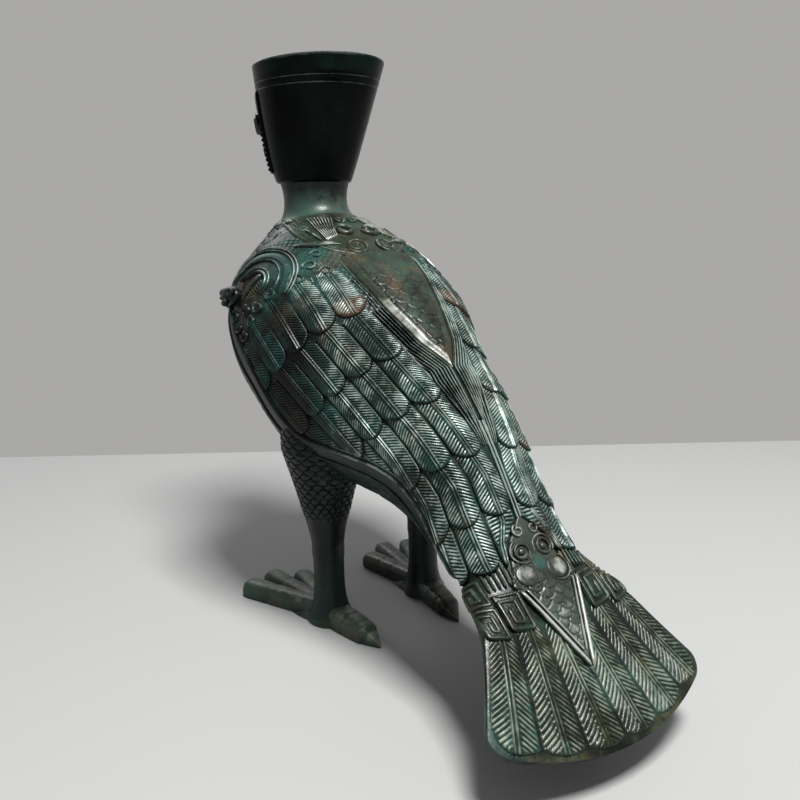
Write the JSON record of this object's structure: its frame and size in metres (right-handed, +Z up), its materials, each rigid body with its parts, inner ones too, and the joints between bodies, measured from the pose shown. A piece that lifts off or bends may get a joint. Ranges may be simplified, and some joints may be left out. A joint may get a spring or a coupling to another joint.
{
  "type": "bird-shaped bronze wine vessel",
  "caption": "Hollow cast bronze bird standing on its feet, with folded feathered wings, a fan tail and an open oval cup for a head, made to hold and pour wine.",
  "frame": {"origin": "middle of the vessel's footprint box, on the surface that the feet stand on", "axes": "+Z up, -Y the way the bird faces, +X the bird's left"},
  "size_m": [0.1148, 0.2548, 0.262],
  "materials": {
    "bronze": "dark green-brown patina, semi-matt",
    "dark_bronze": "near-black green patina, polished by handling",
    "green_bronze": "malachite green patina in the recesses, worn ridges",
    "worn_bronze": "grey-green bronze, worn smooth on high spots"
  },
  "bodies": {
    "root": {"body_shell": "bronze", "neck_collar": "worn_bronze", "mouth_cup": "dark_bronze", "face_mask": "green_bronze", "beak": "green_bronze", "left_eye_boss": "worn_bronze", "right_eye_boss": "worn_bronze", "shoulder_yoke": "worn_bronze", "back_pendant": "green_bronze", "left_wing": "green_bronze", "right_wing": "green_bronze", "left_shoulder_boss": "bronze", "right_shoulder_boss": "bronze", "tail_fan": "green_bronze", "tail_mask": "worn_bronze", "left_tail_coverts": "green_bronze", "right_tail_coverts": "green_bronze", "left_thigh": "bronze", "right_thigh": "bronze", "left_shank": "dark_bronze", "right_shank": "dark_bronze", "left_foot": "worn_bronze", "right_foot": "worn_bronze"}
  },
  "joints": []
}
